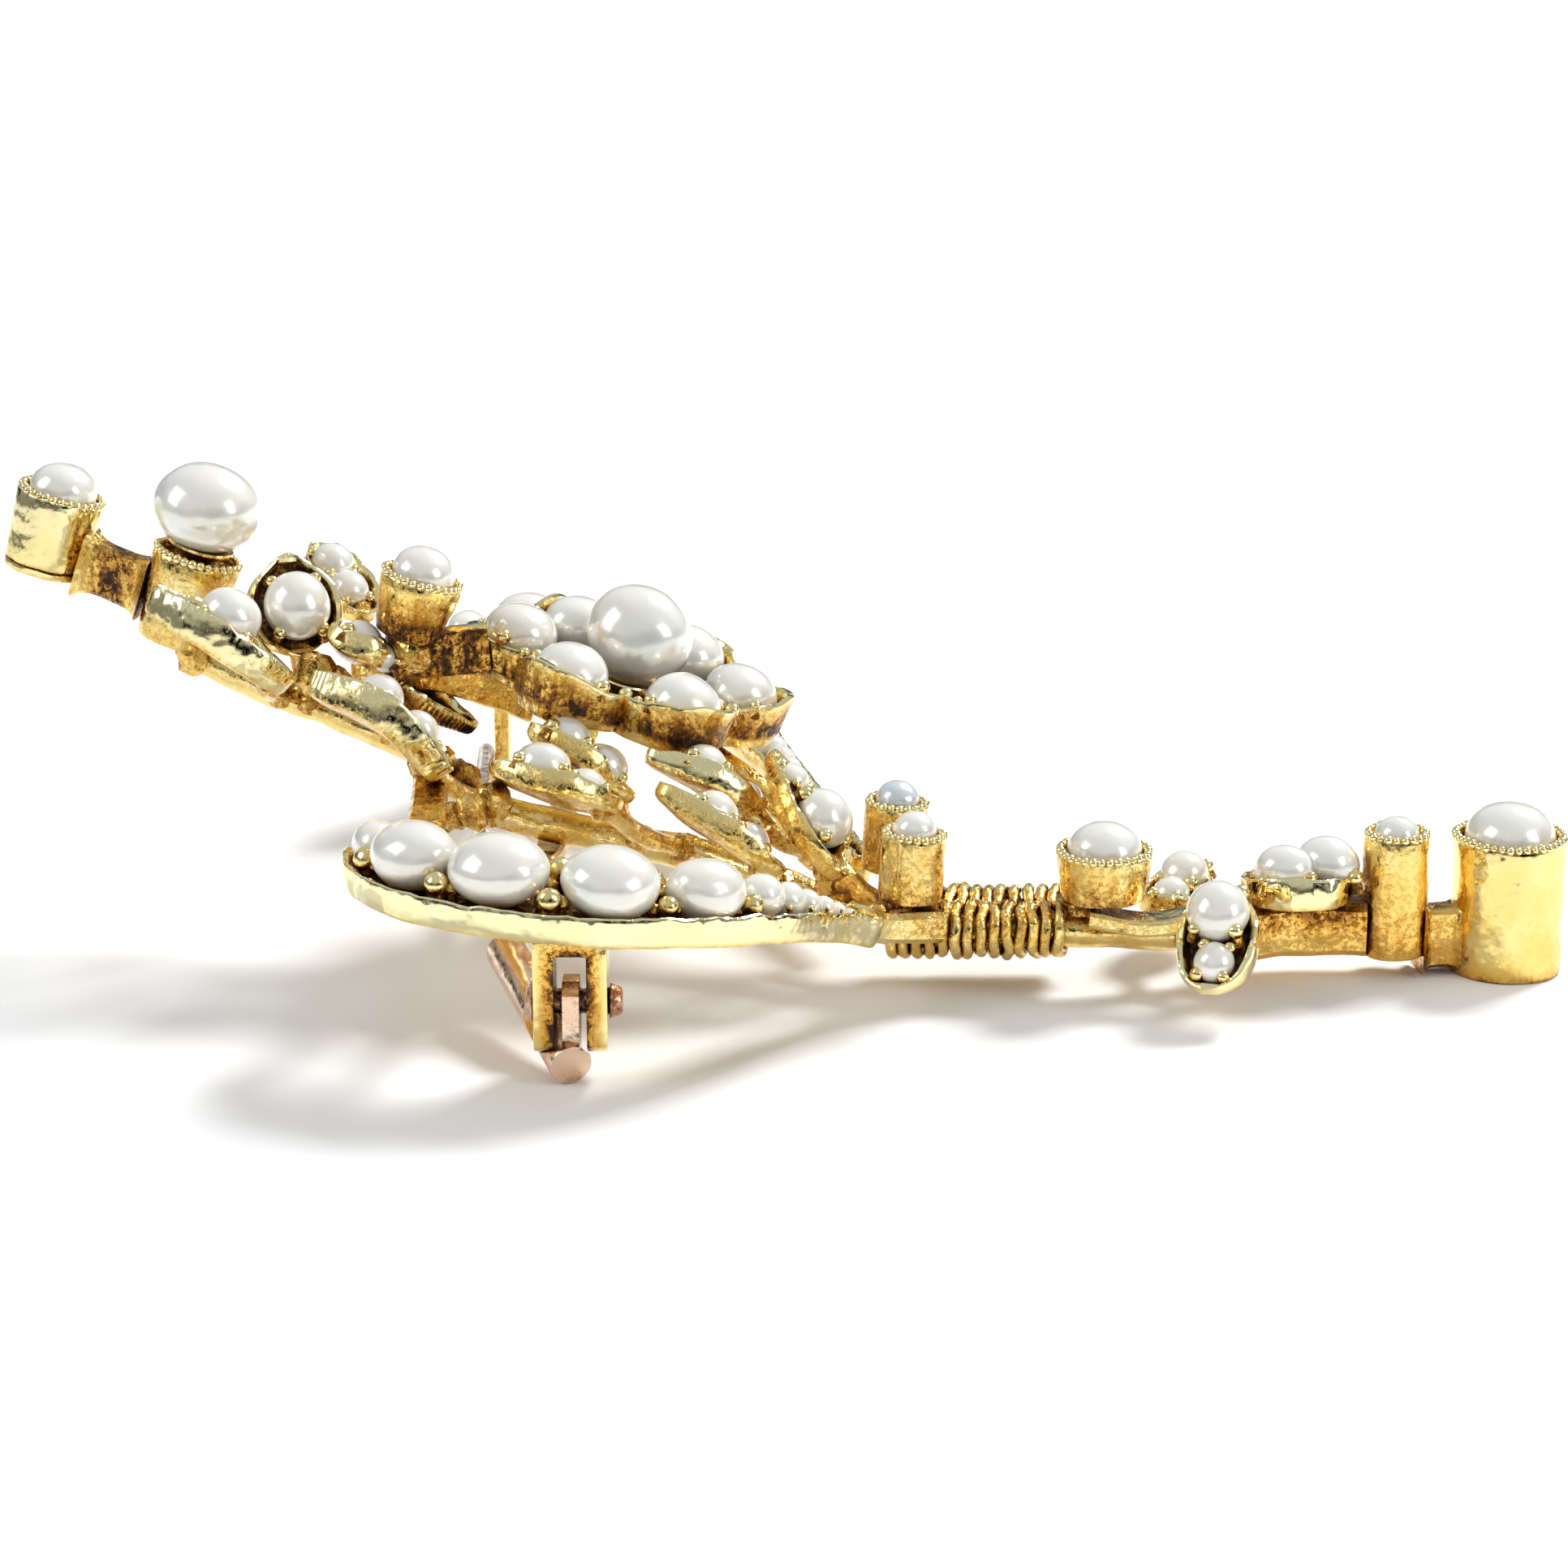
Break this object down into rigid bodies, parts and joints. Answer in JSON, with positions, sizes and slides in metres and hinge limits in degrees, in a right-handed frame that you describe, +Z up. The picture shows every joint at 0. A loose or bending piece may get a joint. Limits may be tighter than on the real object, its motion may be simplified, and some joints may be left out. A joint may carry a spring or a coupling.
{
  "type": "floral spray brooch",
  "caption": "Gold spray brooch with a pearl flower, pearl-set leaves and scrolls, tube settings, a bound stem and a hinged pin with an open catch.",
  "frame": {"origin": "centre of the bounding box at the level that the brooch rests on", "axes": "+X towards the tail of the spray, +Y towards the catch, +Z up, as the brooch lies on its back"},
  "size_m": [0.0564, 0.0392, 0.0168],
  "materials": {
    "yellow_gold": "polished, with dark patina in the recesses",
    "rose_gold": "polished, worn",
    "pearl": "lustrous"
  },
  "bodies": {
    "brooch": {"back_leaf": "yellow_gold", "bud_arm": "yellow_gold", "bud_collet": "yellow_gold", "bud_leaf": "yellow_gold", "bud_pearl": "pearl", "central_pearl": "pearl", "cross_strut": "yellow_gold", "crown_collet": "yellow_gold", "crown_leaf": "yellow_gold", "crown_pearl": "pearl", "crown_peg": "yellow_gold", "end_arm": "yellow_gold", "end_collet": "yellow_gold", "end_pearl": "pearl", "far_scroll": "yellow_gold", "flower_petals": "yellow_gold", "flower_stem": "yellow_gold", "forward_leaf": "yellow_gold", "front_leaf": "yellow_gold", "hinge_bracket": "yellow_gold", "hinge_rivet": "rose_gold", "inner_leaf": "yellow_gold", "long_leaf": "yellow_gold", "main_stem": "yellow_gold", "middle_collet": "yellow_gold", "middle_leaf": "yellow_gold", "middle_pearl": "pearl", "near_scroll": "yellow_gold", "near_scroll_pearl_1": "pearl", "near_scroll_pearl_2": "pearl", "near_scroll_pearl_3": "pearl", "near_scroll_pearl_4": "pearl", "near_scroll_pearl_5": "pearl", "near_scroll_seed_row": "pearl", "pendant_leaf": "yellow_gold", "petal_pearl_1": "pearl", "petal_pearl_2": "pearl", "petal_pearl_3": "pearl", "petal_pearl_4": "pearl", "petal_pearl_5": "pearl", "petal_pearl_6": "pearl", "pin_catch": "yellow_gold", "small_leaf": "yellow_gold", "small_tail_collet": "yellow_gold", "small_tail_pearl": "pearl", "stem_binding": "yellow_gold", "tail_bar": "yellow_gold", "tail_collet": "yellow_gold", "tail_leaf_far": "yellow_gold", "tail_leaf_near": "yellow_gold", "tail_leaf_upper": "yellow_gold", "tail_pearl": "pearl", "tail_web": "yellow_gold", "thorn_leaf": "yellow_gold", "twin_front_collet": "yellow_gold", "twin_front_pearl": "pearl", "twin_rear_collet": "yellow_gold", "twin_rear_pearl": "pearl"},
    "pin_knuckle": {"pin_knuckle": "rose_gold"},
    "pin_wire": {"pin_wire": "rose_gold"}
  },
  "joints": [
    {"name": "pin_hinge", "type": "hinge", "parent": "brooch", "child": "pin_knuckle", "pos_m": [-0.00654, -0.01726, 0.00262], "axis": [-1, 0, 0], "range_deg": [0, 75]},
    {"name": "pin_flex", "type": "hinge", "parent": "pin_knuckle", "child": "pin_wire", "pos_m": [-0.00903, -0.01166, 0.0026], "axis": [0, 0, 1], "range_deg": [0, 4], "stiffness_Nm_per_rad": 0.002}
  ]
}
